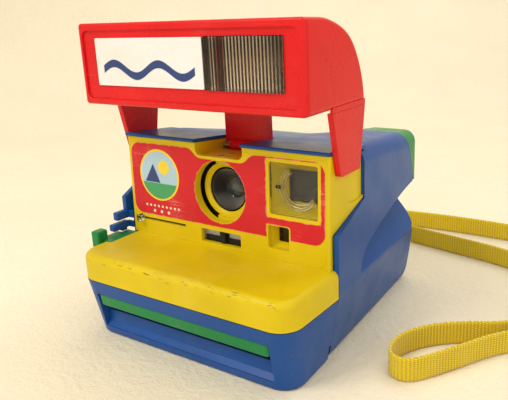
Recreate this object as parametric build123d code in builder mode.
from build123d import *
from math import cos, pi, radians, sin, tan
import os

# An instant camera with a fold-down flash bar, millimetres.
# X is to the right seen from the front, the front faces -Y, Z is up.
# The origin is on the flat base, in the middle of the width.

os.makedirs("parts", exist_ok=True)

# ---------------------------------------------------------------- driving dimensions
HALF_WIDTH = 59.3          # widest place, at the front of the side panels
WALL = 2.6                 # wall of the blue housing
GAP = 0.1                  # joint line between two mouldings

DECK_FRONT = -73.0         # foremost edge of the deck and the film door
DECK_TOP = 41.3
DOOR_TOP = 28.4
DECK_GAP = 0.35            # gap over the film door, so that it can swing
DECK_RADIUS = 10.0         # plan radius of the two front corners
DOOR_BASE_FRONT = -68.0    # the door leans in towards its base
DOOR_BASE_HALF = 57.0
DOOR_BASE_REAR_HALF = 54.6

FACE_Y = -36.8             # front face at deck level
FACE_LEAN = 1.8            # degrees, leaning back
FACE_HALF = 56.4
WING_FRONT = -36.5         # front edge of the top plate beside the lens
SEAM_Y = -34.2             # front edge of the side panels, low down
SHOULDER_Y = -7.0          # front edge of the side panels, high up
SHOULDER_LOW = 55.9        # the panel edge slopes from here ...
SHOULDER_HIGH = 65.2       # ... up to here

REAR_Y = 64.0              # rear of the lower body
COVER_REAR_Y = 66.4        # rear of the green cover
CUP_REAR_Y = 73.0          # rear of the eyepiece cup
TAPER = 0.0751             # each side draws in this much per mm towards the rear
REAR_CORNER = 8.0          # plan radius of the rear corners
DRAFT_Z = 30.0             # the sides draw in below this height
DRAFT = 5.6
TOP_FRONT = 91.4           # top plate at the face
TOP_SLOPE = 0.101          # the top falls gently to the rear
BREAK_Y = -2.0             # behind this the left part of the top falls faster
LEFT_SLOPE = 0.195
TOP_RADIUS = 8.0

PIVOT_Y = -13.7            # fold axis of the flash bar
PIVOT_Z = 84.5
SHAFT_R = 1.55
BORE_R = 1.62
BOSS_R = 2.2               # round boss of each arm, turning in the housing wall

BAR_FRONT = -56.0
BAR_BASE = 108.2
BAR_TOP = 143.6
ARM_IN = 56.7
ARM_OUT = 59.3
NOTCH_HALF = 13.3          # notch in the top plate for the centre post
PIT_FLOOR = 83.5

LENS_V = 26.7              # lens height above the deck, in the face plane
BAFFLE_STEPS = 10          # light-trap steps inside the lens funnel
SLIDE_TRAVEL = 27.0        # close-up lens travel

ROLLER_Y = -56.8
ROLLER_Z = 13.7            # height of the film path
ROLLER_R = 4.0
ROLLER_LENGTH = 90.0
DOOR_PIVOT_Y = -37.6
DOOR_PIVOT_Z = 3.4
PIN_R = 1.0                # hinge pin of the film door
KNUCKLE_R = 2.5
BODY_KNUCKLES = ((-32.0, -20.0), (20.0, 32.0))
DOOR_KNUCKLES = ((-48.0, -32.6), (-19.4, 19.4), (32.6, 48.0))

SCREW_PLACES = [(x, y) for x in (-36.0, 36.0) for y in (-24.0, 44.0)]
SCREW_R = 1.2
SCREW_HEAD_R = 2.6

STRAP_WIDTH = 10.6
STRAP_THICK = 1.5

# ---------------------------------------------------------------- shared planes and shapes
TILT = radians(FACE_LEAN)
LENS_Y = FACE_Y + LENS_V * sin(TILT)
LENS_Z = DECK_TOP + LENS_V * cos(TILT)
FACE = Plane(origin=(0, FACE_Y, DECK_TOP), x_dir=(1, 0, 0), z_dir=(0, -cos(TILT), sin(TILT)))


def depth(d):
    """The face plane moved d mm into the body."""
    return FACE.offset(-d)


def across(y):
    """A cross-section plane at y: sketch X is X and sketch Y is Z."""
    return Plane(origin=(0, y, 0), x_dir=(1, 0, 0), z_dir=(0, -1, 0))


def side(x):
    """A plane at x: sketch X is Y and sketch Y is Z, facing +X."""
    return Plane(origin=(x, 0, 0), x_dir=(0, 1, 0), z_dir=(1, 0, 0))


def half_width(y):
    return HALF_WIDTH - TAPER * (y - SEAM_Y)


def top_right(y):
    return TOP_FRONT - TOP_SLOPE * (y - FACE_Y)


def top_left(y):
    if y <= BREAK_Y:
        return top_right(y)
    return top_right(BREAK_Y) - LEFT_SLOPE * (y - BREAK_Y)


def save(piece, name):
    piece.part.label = name
    export_step(piece.part, f"parts/{name}.step")


def box_at(x0, x1, y0, y1, z0, z1, mode=Mode.ADD):
    """A box between corners, added to the builder that is open."""
    with Locations(((x0 + x1) / 2, (y0 + y1) / 2, (z0 + z1) / 2)):
        Box(x1 - x0, y1 - y0, z1 - z0, mode=mode)


def rod_x(x0, x1, y, z, r, mode=Mode.ADD):
    """A round bar along X, added to the builder that is open."""
    with Locations(Location(((x0 + x1) / 2, y, z), (0, 90, 0))):
        Cylinder(r, x1 - x0, mode=mode)


def body_block(inset, y_front, y_rear):
    """The tapered outer form of the camera, or its inside when inset."""
    with BuildPart() as block:
        for y in (y_front, BREAK_Y, y_rear):
            half = half_width(y) - inset
            foot = half - DRAFT
            with BuildSketch(across(y)) as section:
                with BuildLine():
                    Polyline(
                        (-foot, inset), (foot, inset), (half, DRAFT_Z), (half, top_right(y) - inset),
                        (27, top_right(y) - inset), (-6, top_left(y) - inset),
                        (-half, top_left(y) - inset), (-half, DRAFT_Z), close=True)
                make_face()
                corners = [v for v in section.vertices() if v.Y > 60 and abs(v.X) > 40]
                fillet(corners, TOP_RADIUS - inset)
                feet = [v for v in section.vertices() if v.Y < 10]
                fillet(feet, 2.5)
        loft(ruled=True)
    return block.part


def grip_groove(grow):
    """The swept finger recess in both flanks; grow leaves room for its wall."""
    reach = 14.0 + grow
    rise = 1.15
    with BuildPart() as groove:
        for sign in (1, -1):
            for y in (-20.0, 70.0):
                flank = half_width(y) - 1.4 * grow
                with BuildSketch(across(y)):
                    with BuildLine():
                        Polyline(
                            (sign * (flank + 15), 31.5 - 15 * rise), (sign * flank, 31.5),
                            (sign * (flank - reach), 31.5 + reach * rise),
                            (sign * (flank - reach), 75), (sign * (flank + 15), 75), close=True)
                    make_face()
            loft(ruled=True)
        with BuildSketch(side(0)):
            with BuildLine():
                left = -0.6 * grow
                up = 0.8 * grow
                sweep_edge = Spline(
                    (-10.9 - grow, 31.5 - grow), (-8.4 + left, 38.6 + up), (2.2 + left, 44.5 + up),
                    (19.1 + left, 49.4 + up), (38.0 + left, 53.6 + up), (72.0 + grow, 57.0 + up))
                Polyline(sweep_edge @ 1, (72 + grow, 31.5 - grow), sweep_edge @ 0)
            make_face()
        extrude(amount=90, both=True, mode=Mode.INTERSECT)
    return groove.part


# ---------------------------------------------------------------- blue body housing
def side_form(inset, rear, radius):
    """The side outline of the body, with a round lower rear corner, as a wide solid."""
    with BuildPart() as form:
        with BuildSketch(side(0)) as outline:
            with BuildLine():
                Polyline((-60, inset), (rear - inset, inset), (rear - inset, 100), (-60, 100), close=True)
            make_face()
            fillet([v for v in outline.vertices() if v.X > 30 and v.Y < 20], radius)
        extrude(amount=90, both=True)
        with BuildSketch(Plane.XY) as plan:
            with BuildLine():
                Polyline((-half_width(-60) - 1, -60), (half_width(-60) + 1, -60),
                         (half_width(rear) - inset, rear - inset), (-half_width(rear) + inset, rear - inset),
                         close=True)
            make_face()
            fillet([v for v in plan.vertices() if v.Y > 0], REAR_CORNER - inset)
        extrude(amount=120, mode=Mode.INTERSECT)
    return form.part


outer_form = body_block(0, SEAM_Y, COVER_REAR_Y)
inner_form = body_block(WALL, SEAM_Y - 1, COVER_REAR_Y)
groove_cut = grip_groove(0)
groove_room = grip_groove(WALL)

with BuildPart() as inner_room:
    add(inner_form)
    add(side_form(WALL, REAR_Y, 6.0), mode=Mode.INTERSECT)
    add(groove_room, mode=Mode.SUBTRACT)

# the green cover closes the upper rear behind a sloping seam
COVER_SEAM = [(49.5, 95.0), (49.5, 83.0), (58.8, 56.6), (90.0, 56.6), (90.0, 95.0)]

with BuildPart() as body_housing:
    add(outer_form)
    add(side_form(0, REAR_Y, 8.0), mode=Mode.INTERSECT)
    add(inner_room.part, mode=Mode.SUBTRACT)
    add(groove_cut, mode=Mode.SUBTRACT)
    # step in front: the panels start at the shoulder
    with BuildSketch(side(0)):
        with BuildLine():
            Polyline((-70, 120), (SHOULDER_Y, 120), (SHOULDER_Y, SHOULDER_HIGH), (SEAM_Y, SHOULDER_LOW),
                     (-70, SHOULDER_LOW), close=True)
        make_face()
    extrude(amount=90, both=True, mode=Mode.SUBTRACT)
    # the top plate reaches forward to the face as two wings
    with BuildSketch(side(0)):
        with BuildLine():
            Polyline((WING_FRONT, top_right(WING_FRONT) - 0.5), (WING_FRONT + 0.5, top_right(WING_FRONT + 0.5)),
                     (SHOULDER_Y + 3, top_right(SHOULDER_Y + 3)),
                     (SHOULDER_Y + 3, top_right(SHOULDER_Y + 3) - WALL), (SHOULDER_Y, top_right(SHOULDER_Y) - 1.4),
                     (WING_FRONT, top_right(WING_FRONT) - 1.4), close=True)
        make_face()
    extrude(amount=FACE_HALF - 0.1, both=True)
    box_at(-NOTCH_HALF, NOTCH_HALF, -45, -8.6, 80, 100, mode=Mode.SUBTRACT)
    # the rear opening for the green cover
    with BuildSketch(side(0)):
        with BuildLine():
            Polyline(*COVER_SEAM, close=True)
        make_face()
    extrude(amount=90, both=True, mode=Mode.SUBTRACT)
    # knuckles that carry the film door's hinge pin
    for x0, x1 in BODY_KNUCKLES:
        box_at(x0, x1, DOOR_PIVOT_Y, SEAM_Y + 2, DOOR_PIVOT_Z - KNUCKLE_R, DOOR_PIVOT_Z + KNUCKLE_R)
        rod_x(x0, x1, DOOR_PIVOT_Y, DOOR_PIVOT_Z, KNUCKLE_R)
    rod_x(-52, 52, DOOR_PIVOT_Y, DOOR_PIVOT_Z, PIN_R, mode=Mode.SUBTRACT)
    # screw holes with sunken heads in the base
    for x, y in SCREW_PLACES:
        with Locations((x, y, 0.5)):
            Cylinder(SCREW_HEAD_R + 0.05, 1.2, mode=Mode.SUBTRACT)
        with Locations((x, y, 1.5)):
            Cylinder(SCREW_R + 0.05, 3.2, mode=Mode.SUBTRACT)
    # slot for the stem of the door latch
    box_at(-60, -50, -24.3, -15.7, 16.7, 19.3, mode=Mode.SUBTRACT)
    # seats for the strap lugs in the waist of the rear wall
    for x in (-34, 34):
        box_at(x - 4.05, x + 4.05, REAR_Y - 6, REAR_Y + 1, 37.95, 46.05, mode=Mode.SUBTRACT)
save(body_housing, "body_housing")

# ---------------------------------------------------------------- green rear cover
COUNTER_X = -22.0
COUNTER_Z = 65.4

with BuildPart() as back_cover:
    add(body_block(0, SEAM_Y, COVER_REAR_Y))
    add(side_form(0, COVER_REAR_Y, 8.0), mode=Mode.INTERSECT)
    with BuildSketch(side(0)):
        with BuildLine():
            Polyline((49.5 + GAP, 95.0), (49.5 + GAP, 83.0), (58.8 + GAP, 56.7), (COVER_REAR_Y, 56.7),
                     (COVER_REAR_Y, 95.0), close=True)
        make_face()
    extrude(amount=90, both=True, mode=Mode.INTERSECT)
    # hollow from the front, leaving the rear plate
    with BuildPart(mode=Mode.PRIVATE) as hollow:
        add(inner_form)
        add(side_form(WALL, COVER_REAR_Y, 8.0), mode=Mode.INTERSECT)
        box_at(-80, 80, 0, COVER_REAR_Y - 2.4, 58.9, 95, mode=Mode.INTERSECT)
    add(hollow.part, mode=Mode.SUBTRACT)
    # eyepiece hole and counter window
    box_at(26.0, 42.0, 50, 70, 62.6, 76.4, mode=Mode.SUBTRACT)
    box_at(-25.6, -18.4, 50, 70, 66.4, 71.6, mode=Mode.SUBTRACT)
    # axle of the print counter
    with Locations(Location((COUNTER_X, COVER_REAR_Y - 3.6, COUNTER_Z), (90, 0, 0))):
        Cylinder(1.2, 2.8)
save(back_cover, "back_cover")

with BuildPart() as eyepiece_cup:
    box_at(24.6, 43.4, COVER_REAR_Y, CUP_REAR_Y, 61.2, 77.8)
    fillet(eyepiece_cup.edges().filter_by(Axis.Y), 4.0)
    fillet(eyepiece_cup.faces().sort_by(Axis.Y)[-1].edges(), 1.2)
    box_at(26.1, 41.9, COVER_REAR_Y - 3.0, COVER_REAR_Y, 62.7, 76.3)
    box_at(28.2, 39.8, 55, 75, 64.7, 74.3, mode=Mode.SUBTRACT)
save(eyepiece_cup, "eyepiece_cup")

with BuildPart() as eyepiece_lens:
    box_at(28.25, 39.75, COVER_REAR_Y, COVER_REAR_Y + 1.6, 64.75, 74.25)
save(eyepiece_lens, "eyepiece_lens")

with BuildPart() as counter_window:
    box_at(-25.5, -18.5, COVER_REAR_Y - 1.3, COVER_REAR_Y - 0.3, 66.5, 71.5)
save(counter_window, "counter_window")

with BuildPart() as counter_dial:
    with BuildSketch(across(COVER_REAR_Y - 4.0)):
        with Locations((COUNTER_X, COUNTER_Z)):
            Circle(6.3)
            Circle(1.25, mode=Mode.SUBTRACT)
            with PolarLocations(4.6, 10):
                Circle(0.5, mode=Mode.SUBTRACT)
    extrude(amount=-1.0)
save(counter_dial, "counter_dial")

# ---------------------------------------------------------------- yellow front housing
HOLE_R = 14.4              # lens opening in the face
COLLAR_DEPTH = 3.8         # depth of the collar round it
PANEL_HALF = 54.6
PANEL_TOP = 46.4
LIP_V = 42.6


def panel_outline(grow):
    """The face panel outline in face coordinates, with round lower corners."""
    half = PANEL_HALF + grow
    with BuildSketch() as outline:
        with BuildLine():
            Polyline((-half, 0.3 - grow), (half, 0.3 - grow), (half, PANEL_TOP + grow),
                     (NOTCH_HALF - grow, PANEL_TOP + grow), (NOTCH_HALF - grow, LIP_V + grow),
                     (-NOTCH_HALF + grow, LIP_V + grow), (-NOTCH_HALF + grow, PANEL_TOP + grow),
                     (-half, PANEL_TOP + grow), close=True)
        make_face()
        fillet([v for v in outline.vertices() if v.Y < 5], 5.0)
        fillet([v for v in outline.vertices() if abs(v.X) < 20 and v.Y < 45], 2.8)
    return outline.sketch


with BuildPart() as front_housing:
    with BuildSketch(side(0)):
        with BuildLine():
            Polyline((FACE_Y, DECK_TOP), (FACE_Y + 1.5, 89.5), (SHOULDER_Y - 0.2, 86.7),
                     (SHOULDER_Y - 0.2, SHOULDER_HIGH + 0.3), (SEAM_Y - 0.1, SHOULDER_LOW + 0.3),
                     (SEAM_Y - 0.1, DECK_TOP), close=True)
        make_face()
    extrude(amount=FACE_HALF, both=True)
    front_edges = front_housing.edges().filter_by(lambda e: abs(e.center().X) > 50 and e.center().Y < -35.5)
    upright = [e for e in front_edges if e.length > 40]
    fillet(upright, 1.0)
    # narrower lower part inside the side panels
    box_at(-53.6, 53.6, SEAM_Y - 0.5, SHOULDER_Y - 0.2, 46.0, 66)
    box_at(-53.6, 53.6, SEAM_Y - 0.5, -15.0, DECK_TOP, 46.2)
    # hollow
    with BuildSketch(side(0)):
        with BuildLine():
            Polyline((FACE_Y + 4.6, DECK_TOP + 2), (FACE_Y + 6.0, 87.4), (0, 84.3), (0, DECK_TOP + 2), close=True)
        make_face()
    extrude(amount=51.4, both=True, mode=Mode.SUBTRACT)
    box_at(-35, 35, -16.8, 0, 40, 44, mode=Mode.SUBTRACT)
    # pit below the notch of the top plate, with a well for the post hinge
    box_at(-15.6, 15.6, FACE_Y + 2, -7.2, PIT_FLOOR - 2, 87.5)
    box_at(-15.6, 15.6, -19.5, -7.2, PIT_FLOOR - 6.5, 87.0)
    box_at(-NOTCH_HALF, NOTCH_HALF, -45, -5, PIT_FLOOR, 95, mode=Mode.SUBTRACT)
    box_at(-NOTCH_HALF, NOTCH_HALF, -18.2, -5, PIT_FLOOR - 4.9, 95, mode=Mode.SUBTRACT)
    rod_x(-15.7, 15.7, PIVOT_Y, PIVOT_Z, SHAFT_R, mode=Mode.SUBTRACT)
    # pocket for the face panel and openings behind it
    with BuildSketch(depth(2.3)):
        add(panel_outline(0.05))
    extrude(amount=5, mode=Mode.SUBTRACT)
    with BuildSketch(FACE):
        with Locations((0, LENS_V)):
            Circle(16.1)
        with Locations((38.9, 32.2)):
            Rectangle(27.0, 26.0)
        with Locations((31.3, 10.5)):
            Rectangle(13.4, 12.0)
        with Locations((-0.5, 5.0)):
            Rectangle(37.0, 7.4)
        with Locations((-27.5, 22.4)):
            Rectangle(53.0, 34.0)
    extrude(amount=-8, mode=Mode.SUBTRACT)
    # round relief beside each arm end and the bearing holes
    for sign in (1, -1):
        with BuildSketch(side(sign * FACE_HALF)):
            with Locations((PIVOT_Y, PIVOT_Z)):
                Circle(18.9)
            with Locations((-50.8, 80)):
                Rectangle(40, 90, mode=Mode.SUBTRACT)
        extrude(amount=-sign * 0.8, mode=Mode.SUBTRACT)
        rod_x(min(sign * 50, sign * 58), max(sign * 50, sign * 58), PIVOT_Y, PIVOT_Z, BOSS_R + 0.07, mode=Mode.SUBTRACT)
save(front_housing, "front_housing")

with BuildPart() as face_panel:
    with BuildSketch(FACE):
        add(panel_outline(0))
        with Locations((0, LENS_V)):
            Circle(HOLE_R, mode=Mode.SUBTRACT)
        with Locations((38.9, 32.2)):
            RectangleRounded(23.9, 23.0, 1.2, mode=Mode.SUBTRACT)
        with Locations((31.3, 10.5)):
            RectangleRounded(10.8, 10.4, 1.0, mode=Mode.SUBTRACT)
        with Locations((-0.5, 5.0)):
            RectangleRounded(22.9, 6.3, 0.6, mode=Mode.SUBTRACT)
        with Locations((-37.9, 7.6)):
            Rectangle(32.6, 1.3, mode=Mode.SUBTRACT)
    extrude(amount=-2.2)
    # collar round the lens opening
    with BuildSketch(depth(COLLAR_DEPTH)):
        with Locations((0, LENS_V)):
            Circle(16.0)
            Circle(HOLE_R, mode=Mode.SUBTRACT)
    extrude(amount=COLLAR_DEPTH - 2.2)
save(face_panel, "face_panel")

with BuildPart() as face_label:
    with BuildSketch(FACE) as sheet:
        with BuildLine():
            Polyline((-54.2, 10.3), (54.2, 10.3), (54.2, 45.6), (18.5, 45.6), (13.8, 41.2), (-12.2, 41.2),
                     (-17.0, 45.6), (-54.2, 45.6), close=True)
        make_face()
        fillet([v for v in sheet.vertices() if abs(v.X) > 50], 5.5)
        fillet([v for v in sheet.vertices() if abs(v.X) < 20], 6.0)
        with Locations((0, LENS_V)):
            Circle(HOLE_R + 0.2, mode=Mode.SUBTRACT)
        with Locations((38.9, 32.2)):
            RectangleRounded(26.9, 26.0, 2.0, mode=Mode.SUBTRACT)
        with Locations((31.3, 9.4)):
            RectangleRounded(12.4, 13.6, 1.2, mode=Mode.SUBTRACT)
    extrude(amount=0.2)
save(face_label, "face_label")

# ---------------------------------------------------------------- yellow deck
with BuildPart() as front_deck:
    with BuildSketch(Plane.XY.offset(DOOR_TOP + DECK_GAP)) as plan:
        with Locations((0, (DECK_FRONT + SEAM_Y) / 2)):
            Rectangle(2 * 59.0, SEAM_Y - DECK_FRONT - 0.2)
        fillet([v for v in plan.vertices() if v.Y < -60], DECK_RADIUS)
    extrude(amount=DECK_TOP - DOOR_TOP - DECK_GAP)
    top_rim = front_deck.faces().sort_by(Axis.Z)[-1].edges().filter_by(lambda e: e.center().Y < SEAM_Y - 0.5)
    fillet(top_rim, 3.4)
    with BuildSketch(Plane.XY.offset(DOOR_TOP)) as under:
        with Locations((0, (DECK_FRONT + SEAM_Y) / 2)):
            Rectangle(2 * 56.6, SEAM_Y - DECK_FRONT - 5.0)
        fillet([v for v in under.vertices() if v.Y < -60], 7.6)
    extrude(amount=DECK_TOP - DOOR_TOP - 2.4, mode=Mode.SUBTRACT)
    # corner pocket for the shutter button plate
    box_at(-62, -53.4, -56.2, SEAM_Y, 38.9, 45, mode=Mode.SUBTRACT)
    box_at(-59.0, -52.6, -57.0, SEAM_Y - 0.1, 36.9, 38.9)
save(front_deck, "front_deck")

# ---------------------------------------------------------------- film door and what it carries
HEEL_Z = 7.2               # the door's lower rear edge is cut away up to here
ROOM_FRONT = -63.2         # front of the room for the rollers


def door_form(inset, z0, z1):
    """The boat-shaped form of the film door between two heights."""
    rear = SEAM_Y - 0.2
    with BuildPart() as form:
        for z in (z0, z1):
            share = z / DOOR_TOP
            half = DOOR_BASE_HALF + (59.0 - DOOR_BASE_HALF) * share - inset
            rear_half = DOOR_BASE_REAR_HALF + (59.0 - DOOR_BASE_REAR_HALF) * share - inset
            front = DOOR_BASE_FRONT + (DECK_FRONT - DOOR_BASE_FRONT) * share + inset
            with BuildSketch(Plane.XY.offset(z)) as plan:
                with BuildLine():
                    Polyline((-half, front), (half, front), (rear_half, rear), (-rear_half, rear), close=True)
                make_face()
                fillet([v for v in plan.vertices() if v.Y < -55], DECK_RADIUS - inset)
        loft(ruled=True)
    return form.part


SLOT_HALF = 48.6
SLOT_LOW = 11.5
SLOT_HIGH = 15.9
with BuildPart() as film_door:
    add(door_form(0, 0, DOOR_TOP))
    base_rim = film_door.faces().sort_by(Axis.Z)[0].edges().filter_by(lambda e: e.center().Y < SEAM_Y - 1)
    fillet(base_rim, 1.6)
    # room for the rollers behind the front wall
    with BuildPart(mode=Mode.PRIVATE) as roller_room:
        add(door_form(2.4, 2.6, DOOR_TOP + 1))
        box_at(-51.6, 51.6, ROOM_FRONT, SEAM_Y + 1, 2.6, DOOR_TOP + 2, mode=Mode.INTERSECT)
    add(roller_room.part, mode=Mode.SUBTRACT)
    add(door_form(2.4, 23.4, DOOR_TOP + 1), mode=Mode.SUBTRACT)
    # film slot, with a recess below the lip that slopes outwards
    box_at(-SLOT_HALF, SLOT_HALF, -80, ROOM_FRONT + 1, SLOT_LOW, SLOT_HIGH, mode=Mode.SUBTRACT)
    with BuildSketch(side(0)):
        with BuildLine():
            Polyline((-80, 4.2), (-68.2, 4.2), (-66.2, 6.4), (-65.4, SLOT_LOW + 0.1), (-65.4, 21.9), (-80, 21.9),
                     close=True)
        make_face()
    extrude(amount=SLOT_HALF, both=True, mode=Mode.SUBTRACT)
    # the lower rear edge is a barrel round the hinge pin
    with BuildSketch(side(0)):
        with BuildLine():
            Polyline((DOOR_PIVOT_Y, -1), (-30, -1), (-30, HEEL_Z), (DOOR_PIVOT_Y, HEEL_Z), close=True)
        make_face()
    extrude(amount=80, both=True, mode=Mode.SUBTRACT)
    for x0, x1 in DOOR_KNUCKLES:
        rod_x(x0, x1, DOOR_PIVOT_Y, DOOR_PIVOT_Z, KNUCKLE_R)
    rod_x(-52, 52, DOOR_PIVOT_Y, DOOR_PIVOT_Z, PIN_R + 0.07, mode=Mode.SUBTRACT)
    # gaps for the knuckles of the body
    for x0, x1 in BODY_KNUCKLES:
        box_at(x0 - 0.4, x1 + 0.4, DOOR_PIVOT_Y - KNUCKLE_R - 0.6, SEAM_Y + 1, -1, HEEL_Z, mode=Mode.SUBTRACT)
save(film_door, "film_door")

with BuildPart() as green_lip:
    with BuildSketch(side(0)):
        with BuildLine():
            Polyline((-70.6, 15.9), (-71.7, 21.8), (-65.5, 21.8), (-65.5, 15.9), close=True)
        make_face()
    extrude(amount=SLOT_HALF - 0.1, both=True)
    fillet(green_lip.faces().sort_by(Axis.Y)[0].edges().filter_by(Axis.X), 0.6)
    lower_corners = green_lip.edges().filter_by(Axis.Y).sort_by(Axis.Z)[:2]
    fillet(lower_corners, 2.2)
save(green_lip, "green_lip")

with BuildPart() as door_hinge_pin:
    rod_x(-48.5, 48.5, DOOR_PIVOT_Y, DOOR_PIVOT_Z, PIN_R)
save(door_hinge_pin, "door_hinge_pin")

FRAME_IN = 48.2
FRAME_OUT = 49.4
with BuildPart() as roller_frame:
    for sign in (1, -1):
        box_at(min(sign * FRAME_IN, sign * FRAME_OUT), max(sign * FRAME_IN, sign * FRAME_OUT), -60.8, -50, 3.4, 23.0)
    box_at(-FRAME_OUT, FRAME_OUT, -60.8, -50, 22.6, 23.3)
    # light shields in front of the rollers
    box_at(-FRAME_OUT, FRAME_OUT, -62.9, -62.4, 15.1, 23.3)
    box_at(-FRAME_OUT, FRAME_OUT, -62.9, -60.0, 22.6, 23.3)
    box_at(-FRAME_OUT, FRAME_OUT, -62.9, -62.4, 3.4, 12.3)
    box_at(-FRAME_OUT, FRAME_OUT, -62.9, -60.0, 3.0, 3.6)
    for sign in (1, -1):
        box_at(min(sign * FRAME_IN, sign * FRAME_OUT), max(sign * FRAME_IN, sign * FRAME_OUT), -62.9, -60.0, 3.4, 12.3)
    for z in (ROLLER_Z + ROLLER_R + 0.15, ROLLER_Z - ROLLER_R - 0.15):
        rod_x(-60, 60, ROLLER_Y, z, 1.3, mode=Mode.SUBTRACT)
save(roller_frame, "roller_frame")

GEAR_TEETH = 12
GEAR_PITCH_R = ROLLER_R + 0.15


def gear_solid(x0, x1, y, z, teeth, pitch_r, phase, bore):
    """A gear along X, made outside any open builder."""
    with BuildPart(mode=Mode.PRIVATE) as wheel:
        place = Plane(origin=(x0, y, z), x_dir=(0, 1, 0), z_dir=(1, 0, 0))
        with BuildSketch(place):
            tooth = 2 * pi * pitch_r / teeth
            rise = 0.25 * tooth
            Circle(pitch_r - 1.4 * rise)
            for index in range(teeth):
                angle = phase + 360 * index / teeth
                with BuildLine(Plane.XY.rotated((0, 0, angle))):
                    Polyline((pitch_r - 2 * rise, -0.26 * tooth), (pitch_r, -0.19 * tooth),
                             (pitch_r + rise, -0.1 * tooth), (pitch_r + rise, 0.1 * tooth),
                             (pitch_r, 0.19 * tooth), (pitch_r - 2 * rise, 0.26 * tooth), close=True)
                make_face()
            if bore > 0:
                Circle(bore, mode=Mode.SUBTRACT)
        extrude(amount=x1 - x0)
    return wheel.part


for name, z, phase in (("upper_roller", ROLLER_Z + GEAR_PITCH_R, 90.0), ("lower_roller", ROLLER_Z - GEAR_PITCH_R, 105.0)):
    with BuildPart() as roller:
        rod_x(-ROLLER_LENGTH / 2, ROLLER_LENGTH / 2, ROLLER_Y, z, ROLLER_R)
        rod_x(-49.3, 49.3, ROLLER_Y, z, 1.24)
        add(gear_solid(45.3, 47.9, ROLLER_Y, z, GEAR_TEETH, GEAR_PITCH_R, phase, 0))
    save(roller, name)

# ---------------------------------------------------------------- shutter buttons on the left flank
with BuildPart() as shutter_button:
    box_at(-64.6, -59.5, -58.4, -51.8, 36.4, 45.8)
    fillet(shutter_button.edges(), 1.0)
    box_at(-62.9, -59.3, -54.0, -42.5, 38.6, 41.2)
    box_at(-60.4, -54.0, -55.4, -51.4, 39.3, 41.2)
    box_at(-60.4, -54.0, -52.0, -38.0, 39.3, 41.2)
save(shutter_button, "shutter_button")

with BuildPart() as override_button:
    box_at(-63.4, -59.6, -47.6, -36.7, 42.5, 46.0)
    fillet(override_button.edges(), 0.8)
    box_at(-60.8, -56.7, -37.1, -36.0, 42.7, 45.8)
    box_at(-62.0, -59.8, -42.0, -38.8, 41.6, 43.4)
save(override_button, "override_button")

with BuildPart() as button_guard:
    box_at(-63.0, -59.6, -44.6, -36.4, 47.4, 51.6)
    fillet(button_guard.edges(), 0.8)
    with BuildSketch(side(-61.8)):
        with BuildLine():
            Polyline((-38.2, 47.6), (-30.4, 47.6), (-27.0, 62.4), (-30.4, 62.4), (-38.2, 58.6), close=True)
        make_face()
    extrude(amount=2.3)
    box_at(-60.8, -56.7, -37.1, -35.2, 47.6, 51.4)
save(button_guard, "button_guard")

# ---------------------------------------------------------------- film door latch
with BuildPart() as door_latch:
    box_at(-59.2, -57.2, -27.0, -17.0, 14.6, 21.4)
    fillet(door_latch.edges(), 0.6)
    for y in (-25.0, -23.2, -21.4):
        box_at(-59.7, -58.8, y, y + 0.7, 15.6, 20.4)
    box_at(-57.6, -51.0, -24.0, -20.0, 17.0, 19.0)
    box_at(-52.6, -51.0, -33.0, -20.0, 17.0, 19.0)
save(door_latch, "door_latch")

# ---------------------------------------------------------------- lens, shutter and close-up lens
RING_DEPTH = 5.3           # front of the inner ring
RING_BORE_R = 10.5
with BuildPart() as lens_ring:
    with BuildSketch(depth(RING_DEPTH + 1.5)):
        with Locations((0, LENS_V)):
            Circle(14.6)
            with Locations((-14.6, 0)):
                Rectangle(20.0, 30.0, mode=Mode.SUBTRACT)
            Circle(12.9)
            Circle(RING_BORE_R, mode=Mode.SUBTRACT)
    extrude(amount=1.5)
    bore_rim = lens_ring.faces().filter_by(GeomType.CYLINDER).sort_by(SortBy.AREA)[-1].edges().sort_by(Axis.Y)[0]
    chamfer(bore_rim, 1.0)
    # rim up to the collar, open on the side that the close-up lens comes from
    with BuildSketch(depth(RING_DEPTH + 0.1)):
        with Locations((0, LENS_V)):
            Circle(14.6)
            Circle(13.0, mode=Mode.SUBTRACT)
            with Locations((-14.6, 0)):
                Rectangle(20.0, 30.0, mode=Mode.SUBTRACT)
    extrude(amount=RING_DEPTH - COLLAR_DEPTH - 0.05)
save(lens_ring, "lens_ring")

LENS_PLANE = Plane(origin=(0, LENS_Y, LENS_Z), x_dir=(1, 0, 0), z_dir=(0, sin(TILT), cos(TILT)))
LENS_AXIS = Axis((0, LENS_Y, LENS_Z), (0, cos(TILT), -sin(TILT)))
with BuildPart() as lens_baffle:
    with BuildSketch(LENS_PLANE):
        with BuildLine():
            steps = [(9.7, 6.5), (9.7, 13.2), (5.2, 13.2), (5.2, 12.2)]
            for step in range(BAFFLE_STEPS):
                share = step / BAFFLE_STEPS
                steps.append((5.4 + 4.0 * share, 12.1 - 5.5 * share))
                steps.append((5.4 + 4.0 * (share + 1 / BAFFLE_STEPS), 12.1 - 5.5 * share))
            Polyline(*steps, close=True)
        make_face()
    revolve(axis=LENS_AXIS)
save(lens_baffle, "lens_baffle")

LENS_BULGE = 14.0          # sphere radius of the lens's front face
with BuildPart() as taking_lens:
    with BuildSketch(depth(13.0)):
        with Locations((0, LENS_V)):
            Circle(5.15)
    extrude(amount=1.8)
    with Locations(depth(11.3 + LENS_BULGE).origin + FACE.y_dir * LENS_V):
        Sphere(LENS_BULGE, mode=Mode.INTERSECT)
save(taking_lens, "taking_lens")

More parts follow.
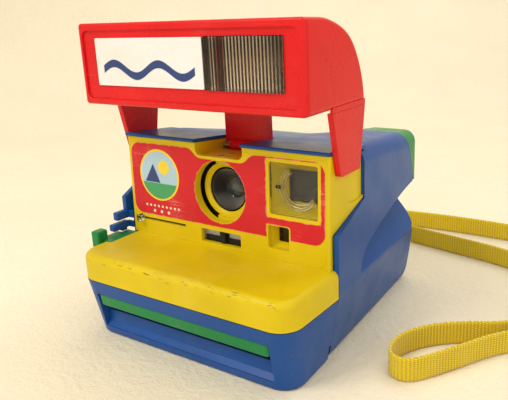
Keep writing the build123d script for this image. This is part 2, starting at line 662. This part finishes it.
with BuildPart() as shutter_housing:
    box_at(-22, 22, LENS_Y + 7.6, -22.4, 50, 77.0)
    box_at(-22, 22, -22.4, -19.6, 50, 54)
    box_at(-22, 22, -19.9, -18.0, 50, 77.0)
    rod_y = Location((0, -25, LENS_Z), (90, 0, 0))
    with Locations(rod_y):
        Cylinder(10.1, 12, mode=Mode.SUBTRACT)
    with Locations(Location((0, -19, LENS_Z), (90, 0, 0))):
        Cylinder(4.0, 12, mode=Mode.SUBTRACT)
    box_at(-10.1, 10.1, -34, -22.4, LENS_Z, 80, mode=Mode.SUBTRACT)
save(shutter_housing, "shutter_housing")

BLADE_TRAVEL = 5.0
for name, y, hole_x in (("shutter_blade_front", -22.0, BLADE_TRAVEL), ("shutter_blade_rear", -20.9, -BLADE_TRAVEL)):
    with BuildPart() as blade:
        with BuildSketch(across(y)):
            with Locations((0, LENS_Z)):
                RectangleRounded(27, 13, 2)
            with Locations((hole_x, LENS_Z)):
                Circle(3.2, mode=Mode.SUBTRACT)
        extrude(amount=-0.5)
    save(blade, name)

with BuildPart() as closeup_slide:
    with BuildSketch(depth(5.1)):
        with Locations((-SLIDE_TRAVEL, LENS_V)):
            Circle(11.4)
        with BuildLine():
            Polyline((-52.0, 6.2), (-47.6, 6.2), (-32.0, 17.0), (-37.0, 22.0), close=True)
        make_face()
    extrude(amount=1.0)
    with BuildSketch(depth(4.2)):
        with Locations((-50.0, 7.6)):
            Rectangle(1.8, 1.1)
    extrude(amount=4.8)
    with BuildSketch(depth(-0.4)):
        with Locations((-50.0, 7.8)):
            RectangleRounded(3.0, 3.6, 1.2)
    extrude(amount=2.4)
save(closeup_slide, "closeup_slide")

with BuildPart() as exposure_slider:
    with BuildSketch(depth(4.0)):
        with Locations((-0.5, 3.1)):
            Rectangle(22.0, 2.4)
        with Locations((-0.5, 5.0)):
            Rectangle(3.6, 6.0)
    extrude(amount=1.0)
    with BuildSketch(depth(3.2)):
        with Locations((-0.5, 5.0)):
            RectangleRounded(2.8, 5.6, 0.5)
    extrude(amount=2.0)
save(exposure_slider, "exposure_slider")

with BuildPart() as exposure_scale:
    with BuildSketch(depth(5.0)):
        with Locations((-0.5, 5.2)):
            Rectangle(33.0, 6.6)
    extrude(amount=0.6)
save(exposure_scale, "exposure_scale")

# ---------------------------------------------------------------- viewfinder and light sensor
with BuildPart() as viewfinder_window:
    with BuildSketch(depth(2.1)):
        with Locations((38.9, 32.2)):
            RectangleRounded(23.8, 22.9, 1.1)
    extrude(amount=1.2)
save(viewfinder_window, "viewfinder_window")


def funnel(center, front_size, rear_size, d0, d1, wall):
    """A four-sided funnel between two depths behind the face."""
    with BuildPart() as cone:
        for extra, mode in ((wall, Mode.ADD), (0, Mode.SUBTRACT)):
            for d, size in ((d0, front_size), (d1, rear_size)):
                with BuildSketch(depth(d)):
                    with Locations(center):
                        RectangleRounded(size[0] + 2 * extra, size[1] + 2 * extra, 1.0 + extra)
            loft(mode=mode)
    return cone.part


FINDER = (38.9, 32.2)
SENSOR = (31.3, 10.5)
with BuildPart() as viewfinder_funnel:
    add(funnel(FINDER, (23.6, 22.7), (14.8, 14.2), 2.4, 9.4, 1.0))
save(viewfinder_funnel, "viewfinder_funnel")

with BuildPart() as viewfinder_lens:
    with BuildSketch(depth(10.8)):
        with Locations(FINDER):
            RectangleRounded(16.4, 15.8, 1.5)
    extrude(amount=1.3)
save(viewfinder_lens, "viewfinder_lens")

with BuildPart() as viewfinder_tube:
    for extra, mode in ((1.2, Mode.ADD), (0, Mode.SUBTRACT)):
        tube_y = -23.0
        eye_y = COVER_REAR_Y - 3.1
        with BuildSketch(across(tube_y)):
            with Locations((38.9, 73.0)):
                Rectangle(14.6 + 2 * extra, 14.0 + 2 * extra)
        with BuildSketch(across(eye_y)):
            with Locations((34.0, 69.5)):
                Rectangle(11.6 + 2 * extra, 9.6 + 2 * extra)
        loft(mode=mode)
save(viewfinder_tube, "viewfinder_tube")

with BuildPart() as sensor_funnel:
    add(funnel(SENSOR, (10.6, 10.2), (7.0, 7.0), 2.4, 6.0, 0.8))
save(sensor_funnel, "sensor_funnel")

with BuildPart() as photocell:
    with BuildSketch(depth(7.8)):
        with Locations(SENSOR):
            Circle(3.9)
    extrude(amount=1.6)
save(photocell, "photocell")

# ---------------------------------------------------------------- film chamber and light path
FILM_HALF = 43.0
with BuildPart() as film_frame:
    box_at(-44.8, 44.8, SEAM_Y + 1, 54.0, 24.8, 26.4)
    box_at(-39.5, 39.5, -14.5, 52.0, 20, 30, mode=Mode.SUBTRACT)
    for sign in (1, -1):
        box_at(min(sign * FILM_HALF, sign * 43.9), max(sign * FILM_HALF, sign * 43.9), SEAM_Y + 1, 54.0, 4.6, 25.0)
save(film_frame, "film_frame")

HOOD_LOW = 26.5
HOOD_HIGH = 76.0


def hood_form(inset):
    with BuildPart() as form:
        with BuildSketch(Plane.XY.offset(HOOD_LOW - (0.1 if inset else 0))):
            with Locations((0, 19.0)):
                Rectangle(2 * (41.0 - inset), 2 * (35.0 - inset))
        with BuildSketch(Plane.XY.offset(HOOD_HIGH - inset)):
            with Locations((0, -2.0)):
                Rectangle(2 * (17.0 - inset), 2 * (14.0 - inset))
        loft(ruled=True)
    return form.part


with BuildPart() as light_hood:
    add(hood_form(0))
    add(hood_form(1.3), mode=Mode.SUBTRACT)
    with Locations(Location((0, -16, LENS_Z), (90, 0, 0))):
        Cylinder(5.0, 8, mode=Mode.SUBTRACT)
save(light_hood, "light_hood")

MIRROR_RUN = (0, -42.0, HOOD_HIGH - HOOD_LOW)
mirror_plane = Plane(origin=(0, 49.4, HOOD_LOW + 2.0), x_dir=(1, 0, 0),
                     z_dir=Vector(1, 0, 0).cross(Vector(*MIRROR_RUN)))
with BuildPart() as mirror:
    with BuildSketch(mirror_plane):
        with BuildLine():
            Polyline((-35.5, 1), (35.5, 1), (17.0, 53), (-17.0, 53), close=True)
        make_face()
    extrude(amount=1.4)
save(mirror, "mirror")

with BuildPart() as battery_contacts:
    for x in (-14.0, 14.0):
        box_at(x - 2, x + 2, -30, -16, 2.7, 3.0)
        with Locations(Location((x, -18, 2.8), (0, 90, 0))):
            Cylinder(1.4, 4)
    box_at(-20, 20, -40, 0, 0, 2.7, mode=Mode.SUBTRACT)
save(battery_contacts, "battery_contacts")

# ---------------------------------------------------------------- electronics and film drive
with BuildPart() as circuit_board:
    box_at(-49.5, -24.5, -28.4, -26.9, 46, 79)
    for x in (-46.5, -27.5):
        for z in (49, 76):
            with Locations(Location((x, -27, z), (90, 0, 0))):
                Cylinder(1.2, 4, mode=Mode.SUBTRACT)
    box_at(-46, -38, -26.9, -24.6, 64, 72)
save(circuit_board, "circuit_board")

with BuildPart() as flash_capacitor:
    with Locations((-38.5, -17.6, 60)):
        Cylinder(6.6, 30)
    fillet(flash_capacitor.edges(), 0.8)
save(flash_capacitor, "flash_capacitor")

MOTOR_Y = -20.0
MOTOR_Z = 54.2
PINION_TEETH = 12
WHEEL_TEETH = 36
PINION_R = 3.0
WHEEL_R = PINION_R * WHEEL_TEETH / PINION_TEETH
with BuildPart() as drive_motor:
    rod_x(33.0, 48.2, MOTOR_Y, MOTOR_Z, 6.8)
    fillet(drive_motor.edges(), 0.7)
    rod_x(40.0, 49.2, MOTOR_Y, MOTOR_Z, 2.0)
    rod_x(49.0, 51.0, MOTOR_Y, MOTOR_Z, 0.95)
save(drive_motor, "drive_motor")

with BuildPart() as motor_pinion:
    add(gear_solid(49.4, 51.1, MOTOR_Y, MOTOR_Z, PINION_TEETH, PINION_R, 0, 1.0))
save(motor_pinion, "motor_pinion")

with BuildPart() as drive_gear:
    add(gear_solid(49.4, 51.1, MOTOR_Y + PINION_R + WHEEL_R, MOTOR_Z, WHEEL_TEETH, WHEEL_R, 5.0, 1.3))
save(drive_gear, "drive_gear")

with BuildPart() as gear_shaft:
    rod_x(44.0, 51.4, MOTOR_Y + PINION_R + WHEEL_R, MOTOR_Z, 1.22)
    rod_x(44.0, 49.2, MOTOR_Y + PINION_R + WHEEL_R, MOTOR_Z, 2.4)
save(gear_shaft, "gear_shaft")

# ---------------------------------------------------------------- flash unit
with BuildPart() as hinge_shaft:
    rod_x(-15.5, 15.5, PIVOT_Y, PIVOT_Z, SHAFT_R - 0.01)
save(hinge_shaft, "hinge_shaft")


BAR_BACK = [(-10.0, BAR_BASE), (-11.5, 117.5), (-15.6, 127.0), (-24.0, 136.6), (-36.0, 141.6),
            (BAR_FRONT, BAR_TOP)]
BAR_NORMALS = [(1.0, -1.0), (0.97, 0.25), (0.87, 0.5), (0.63, 0.78), (0.28, 0.96), (-1.0, 1.0)]
BAR_WALL = 1.6


def bar_form(shift, half):
    """The rounded wedge of the flash bar, or its inside when shifted in by the wall."""
    front = BAR_FRONT + shift
    with BuildPart() as form:
        with BuildSketch(side(0)):
            with BuildLine():
                points = [(y - shift * out, z - shift * up)
                          for (y, z), (out, up) in zip(BAR_BACK, BAR_NORMALS)]
                back = Spline(*points, tangents=((0, 1), (-1, 0.06)))
                Polyline(back @ 1, (front, BAR_BASE + shift), back @ 0)
            make_face()
        extrude(amount=half, both=True)
    return form.part


with BuildPart() as flash_housing:
    add(bar_form(0, ARM_OUT))
    front_rims = flash_housing.faces().sort_by(Axis.Y)[0].edges().filter_by(Axis.X)
    fillet(front_rims, 1.2)
    ends = flash_housing.faces().filter_by(Axis.X)
    rims = [e for f in ends for e in f.edges() if e.center().Z > BAR_BASE + 1]
    fillet(rims, 2.2)
    # sunken front panel
    with BuildSketch(across(BAR_FRONT)):
        with Locations((0, 125.7)):
            RectangleRounded(113.0, 29.6, 3.0)
    extrude(amount=-0.9, mode=Mode.SUBTRACT)
    # side skirts down to the arms
    for sign in (1, -1):
        box_at(min(sign * 58.0, sign * ARM_OUT), max(sign * 58.0, sign * ARM_OUT), -37.4, -10.6, 107.0, BAR_BASE + 1)
    # hollow, open below for the frame and in front for the flash
    add(bar_form(BAR_WALL, 58.0), mode=Mode.SUBTRACT)
    box_at(-57.8, 57.8, -53.8, -12.3, BAR_BASE - 1, BAR_BASE + 4, mode=Mode.SUBTRACT)
    box_at(12.5, 49.5, -58, -50, 116.7, 137.4, mode=Mode.SUBTRACT)
save(flash_housing, "flash_housing")

with BuildPart() as flash_frame:
    box_at(-57.7, 57.7, -53.7, -12.4, 109.0, 110.6)
    for sign in (1, -1):
        arm_in = sign * ARM_IN
        with BuildSketch(side(arm_in)) as arm:
            with BuildLine():
                Polyline((-37.4, 106.9), (-31.6, 80.6), (-15.3, 80.6), (-10.7, 106.9), close=True)
            make_face()
            fillet([v for v in arm.vertices() if v.Y < 90], 1.5)
        extrude(amount=sign * (ARM_OUT - ARM_IN))
        box_at(min(arm_in, sign * 57.7), max(arm_in, sign * 57.7), -35, -14, 105, 110.6)
        rod_x(min(sign * 51.6, sign * 57), max(sign * 51.6, sign * 57), PIVOT_Y, PIVOT_Z, BOSS_R)
    # centre post with its hinge eye
    box_at(-12.5, 12.5, -13.2, -10.2, 83.2, 108.1)
    box_at(-12.5, 12.5, -13.2, -12.5, 108.0, 110.6)
    rod_x(-8.0, 8.0, PIVOT_Y, PIVOT_Z, 3.0)
    rod_x(-12.9, 12.9, PIVOT_Y, PIVOT_Z, BORE_R, mode=Mode.SUBTRACT)
    # slot that clears the close-up knob when the bar is folded
    box_at(-54, -19, -52.4, -45.6, 108.0, 112.0, mode=Mode.SUBTRACT)
save(flash_frame, "flash_frame")

RIB_PITCH = 1.6
RIB_RISE = 0.3
with BuildPart() as flash_window:
    with BuildSketch(Plane.XY.offset(116.8)):
        ribs = [(12.6, -56.1), (49.4, -56.1), (49.4, -54.4)]
        count = int((49.4 - 12.6) / RIB_PITCH)
        for index in range(count):
            x = 49.4 - (index + 0.5) * RIB_PITCH
            ribs.append((x, -54.4 + RIB_RISE))
            ribs.append((x - RIB_PITCH / 2, -54.4))
        ribs.append((12.6, -54.4))
        with BuildLine():
            Polyline(*ribs, close=True)
        make_face()
    extrude(amount=20.5)
save(flash_window, "flash_window")

with BuildPart() as flash_reflector:
    with BuildSketch(side(13.4)):
        with BuildLine():
            outer_arc = ThreePointArc((-53.0, 137.0), (-40.5, 127.05), (-53.0, 117.1))
            inner_arc = ThreePointArc((-53.0, 118.0), (-41.4, 127.05), (-53.0, 136.1))
            Line(outer_arc @ 1, inner_arc @ 0)
            Line(inner_arc @ 1, outer_arc @ 0)
        make_face()
    extrude(amount=35.2)
    for x in (13.0, 48.2):
        with BuildSketch(side(x)):
            with BuildLine():
                cap = ThreePointArc((-53.0, 137.0), (-40.5, 127.05), (-53.0, 117.1))
                Line(cap @ 1, cap @ 0)
            make_face()
        extrude(amount=0.8)
    rod_x(10, 52, -46.5, 127.05, 1.75, mode=Mode.SUBTRACT)
save(flash_reflector, "flash_reflector")

with BuildPart() as flash_tube:
    rod_x(11.0, 51.0, -46.5, 127.05, 1.65)
    fillet(flash_tube.edges(), 0.5)
save(flash_tube, "flash_tube")

with BuildPart() as label_plate:
    with BuildSketch(across(BAR_FRONT + 0.9)):
        with Locations(((-48.4 + 12.2) / 2, 127.1)):
            RectangleRounded(60.6, 20.2, 0.6)
    extrude(amount=0.8)
save(label_plate, "label_plate")

with BuildPart() as flash_board:
    box_at(-50, 8, -48, -20, 112.4, 113.9)
    box_at(-44, -26, -42, -26, 113.9, 122.0)
    box_at(-18, -8, -44, -36, 113.9, 119.0)
save(flash_board, "flash_board")

# ---------------------------------------------------------------- screws in the base
with BuildPart() as base_screws:
    for x, y in SCREW_PLACES:
        with Locations((x, y, 1.7)):
            Cylinder(SCREW_R, 2.8)
        with Locations((x, y, 0.7)):
            Cylinder(SCREW_HEAD_R, 0.8)
            Box(3.4, 0.7, 0.8, mode=Mode.SUBTRACT)
save(base_screws, "base_screws")

# ---------------------------------------------------------------- strap and its lugs
LUG_X = 34.0
LUG_Z = 42.0
LUG_BAR_Y = 70.6
with BuildPart() as strap_lugs:
    for x in (-LUG_X, LUG_X):
        box_at(x - 4, x + 4, REAR_Y - 5.9, REAR_Y + 0.8, 38.0, 46.0)
        box_at(x - 1.3, x + 1.3, REAR_Y + 0.4, LUG_BAR_Y + 1.0, LUG_Z + 6.3, LUG_Z + 8.6)
        box_at(x - 1.3, x + 1.3, REAR_Y + 0.4, LUG_BAR_Y + 1.0, LUG_Z - 8.6, LUG_Z - 6.3)
        box_at(x - 1.3, x + 1.3, REAR_Y + 0.4, REAR_Y + 2.2, LUG_Z - 8.6, LUG_Z + 8.6)
        with Locations((x, LUG_BAR_Y, LUG_Z)):
            Cylinder(1.2, 14.0)
save(strap_lugs, "strap_lugs")

FLOOR_Z = STRAP_WIDTH / 2 + 0.2
STRAP_START = LUG_BAR_Y + 1.2
strap_route = [
    (LUG_X, STRAP_START, LUG_Z), (LUG_X, 75.6, LUG_Z), (32.5, 81.0, 39.0), (27.5, 88.5, 31.0), (18.5, 96.5, 20.5), (10.5, 105.5, 11.0),
    (10.0, 114.5, 6.6), (18.0, 118.3, FLOOR_Z), (29.0, 113.2, FLOOR_Z), (44.0, 109.6, FLOOR_Z),
    (66.0, 105.4, FLOOR_Z), (90.0, 100.2, FLOOR_Z), (110.0, 91.0, FLOOR_Z), (124.0, 76.0, FLOOR_Z),
    (130.0, 57.0, FLOOR_Z), (127.5, 38.5, FLOOR_Z), (122.0, 25.0, FLOOR_Z), (113.0, 13.8, FLOOR_Z),
    (98.5, 6.2, FLOOR_Z), (87.0, -3.5, FLOOR_Z), (80.0, -15.0, FLOOR_Z), (78.8, -26.5, FLOOR_Z),
    (82.5, -35.5, FLOOR_Z), (90.5, -36.3, FLOOR_Z), (97.0, -27.0, FLOOR_Z), (104.5, -13.5, FLOOR_Z),
    (113.0, 2.5, FLOOR_Z), (124.0, 14.5, FLOOR_Z), (140.5, 27.0, FLOOR_Z), (154.0, 45.0, FLOOR_Z),
    (160.5, 69.0, FLOOR_Z), (155.5, 95.0, FLOOR_Z), (140.5, 117.5, FLOOR_Z), (118.5, 133.5, FLOOR_Z),
    (92.0, 141.3, FLOOR_Z), (64.0, 142.6, FLOOR_Z), (36.0, 142.0, FLOOR_Z), (10.0, 139.0, FLOOR_Z),
    (-11.0, 130.0, 7.5), (-25.5, 116.5, 13.0), (-32.5, 101.5, 23.0), (-34.2, 87.5, 34.5),
    (-LUG_X, 77.0, LUG_Z), (-LUG_X, STRAP_START, LUG_Z),
]


def bend_radii(points):
    """The largest arc that each corner of the route has room for."""
    radii = []
    for before, here, after in zip(points, points[1:], points[2:]):
        run_in = Vector(*here) - Vector(*before)
        run_out = Vector(*after) - Vector(*here)
        turn = radians(run_in.get_angle(run_out))
        radii.append(0.45 * min(run_in.length, run_out.length) / tan(turn / 2))
    return radii


strap_radii = bend_radii(strap_route)
print("strap bend radii", [round(r, 1) for r in strap_radii])
with BuildPart() as neck_strap:
    with BuildLine() as strap_path:
        FilletPolyline(*strap_route, radius=strap_radii)
    path = strap_path.wires()[0]
    heading = path % 0
    start_plane = Plane(origin=path @ 0, x_dir=(heading.Y, -heading.X, 0), z_dir=heading)
    with BuildSketch(start_plane):
        Rectangle(STRAP_THICK, STRAP_WIDTH)
    sweep(path=path)
strap_length = path.length
print("strap length", round(strap_length, 1), "volume share",
      round(neck_strap.part.volume / (strap_length * STRAP_THICK * STRAP_WIDTH), 4))
save(neck_strap, "neck_strap")
